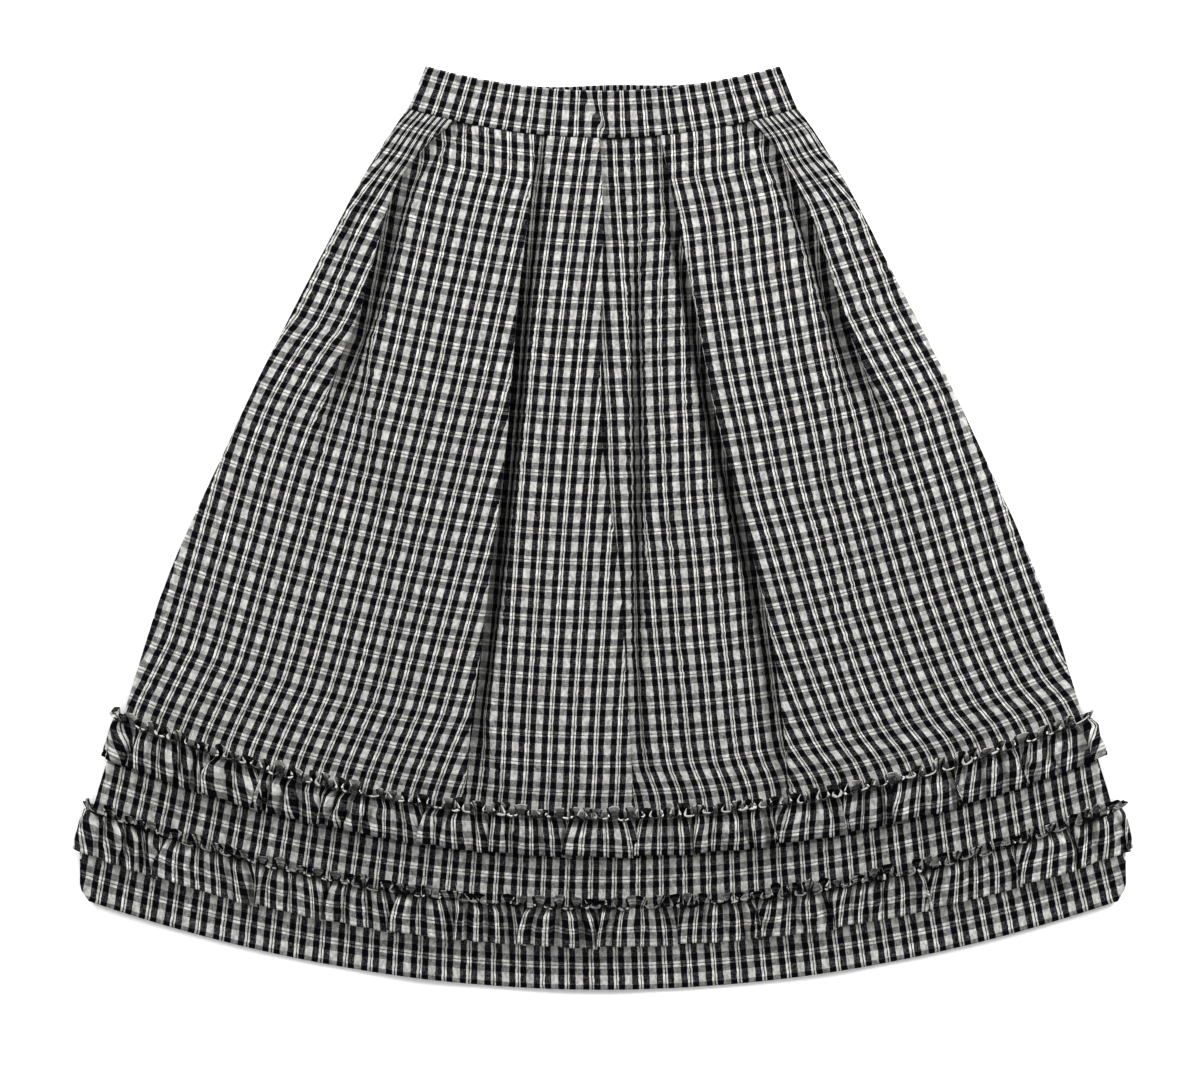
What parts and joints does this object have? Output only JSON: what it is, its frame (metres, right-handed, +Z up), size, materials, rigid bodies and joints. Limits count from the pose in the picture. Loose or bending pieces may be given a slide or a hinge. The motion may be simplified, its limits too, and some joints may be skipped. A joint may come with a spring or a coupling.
{
  "type": "pleated skirt",
  "caption": "Midi A-line skirt in checked crinkle cloth, laid out flat, with knife pleats, a plain front waistband, an elastic back waistband and gathered ruffle rows above the hem.",
  "frame": {"origin": "middle of the underside of the skirt as it lies on a surface", "axes": "+Z up from the surface that it lies on, +Y from the hem to the waist, +X to the right of someone looking down at the front"},
  "size_m": [0.9492, 0.832, 0.0268],
  "materials": {
    "check_cloth": "matt crinkled woven check, near-black and cream"
  },
  "bodies": {
    "root": {"waistband_front": "check_cloth", "waistband_back": "check_cloth", "skirt_front": "check_cloth", "skirt_back": "check_cloth", "ruffle_upper_front": "check_cloth", "ruffle_upper_back": "check_cloth", "ruffle_lower_front": "check_cloth", "ruffle_lower_back": "check_cloth"}
  },
  "joints": []
}
